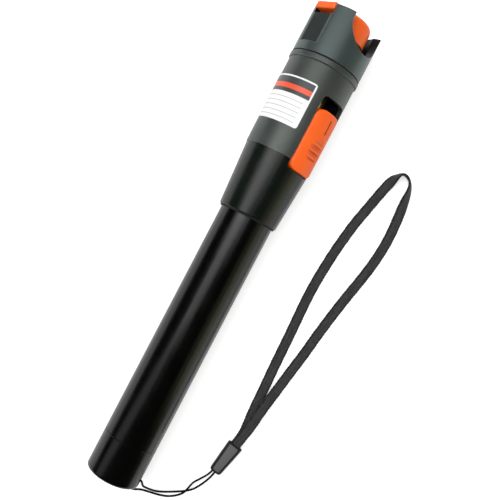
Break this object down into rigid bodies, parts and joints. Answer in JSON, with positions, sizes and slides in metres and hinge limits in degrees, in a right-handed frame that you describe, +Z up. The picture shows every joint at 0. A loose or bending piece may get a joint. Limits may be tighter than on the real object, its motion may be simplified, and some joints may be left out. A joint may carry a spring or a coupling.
{
  "type": "visual fault locator",
  "caption": "Pen-shaped red-light fault finder for optical fibre, with a slide switch, a hinged dust lid over its ferrule port, a screw-on tail cap and a hand strap.",
  "frame": {"origin": "centre of the pen's footprint, on the surface it lies on; the hand strap isn't counted", "axes": "+Z up; the pen points along +X, its axis rising 1.3 degrees towards the head; the strap lies on the -Y side"},
  "size_m": [0.1825, 0.0638, 0.0268],
  "materials": {
    "black_shell": "gloss",
    "dark_collar": "satin",
    "grey_shell": "satin",
    "front_metal": "satin",
    "black_rubber": "matte",
    "orange_lid": "matte",
    "orange_slider": "satin",
    "plated_port": "satin",
    "ceramic": "gloss",
    "brass": "satin",
    "steel": "satin",
    "clear_glass": "gloss",
    "board": "satin",
    "black_plastic": "matte",
    "white_plastic": "matte",
    "cell_jacket": "satin",
    "label": "matte",
    "grey_plastic": "matte",
    "black_cord": "matte",
    "black_webbing": "matte"
  },
  "bodies": {
    "pen": {"battery_tube": "black_shell", "cell_rear": "cell_jacket", "cell_front": "cell_jacket", "positive_contact": "brass", "contact_insulator": "black_plastic", "collar": "dark_collar", "collar_seal": "black_rubber", "head_housing": "grey_shell", "front_ring": "grey_shell", "front_seal": "black_rubber", "hinge_pin": "steel", "crown": "front_metal", "port_barrel": "plated_port", "ceramic_sleeve": "ceramic", "port_nut": "brass", "laser_holder": "brass", "laser_diode": "steel", "focusing_lens": "clear_glass", "circuit_board": "board", "driver_chip": "black_plastic", "slide_switch": "black_plastic", "blank_label": "label"},
    "slider": {"slider": "orange_slider", "slider_carrier": "black_plastic", "carrier_screws": "steel", "switch_lever": "white_plastic"},
    "lid": {"dust_lid": "orange_lid"},
    "cap_travel": {"tail_o_ring": "black_rubber"},
    "cap": {"tail_cap": "black_shell", "spring_seat": "brass", "contact_spring": "steel", "lanyard_cord": "black_cord", "strap_clasp": "grey_plastic", "strap_webbing": "black_webbing"}
  },
  "joints": [
    {"name": "slider_slide", "type": "slide", "parent": "pen", "child": "slider", "axis": [0.9997, 0, 0.0227], "range_m": [0, 0.0044]},
    {"name": "lid_hinge", "type": "hinge", "parent": "pen", "child": "lid", "pos_m": [0.0878, 0.00812, 0.02062], "axis": [-0.0174, -0.6428, 0.7658], "range_deg": [0, 110]},
    {"name": "cap_advance", "type": "slide", "parent": "pen", "child": "cap_travel", "axis": [-0.9997, 0, -0.0227], "range_m": [0, 0.009]},
    {"name": "cap_thread", "type": "hinge", "parent": "cap_travel", "child": "cap", "pos_m": [-0.09005, 0, 0.00977], "axis": [-0.9997, 0, -0.0227], "range_deg": [0, 2160]}
  ],
  "couplings": [
    {"joint": "cap_advance", "follows": "cap_thread", "m_per_rad": 0.00023873}
  ]
}
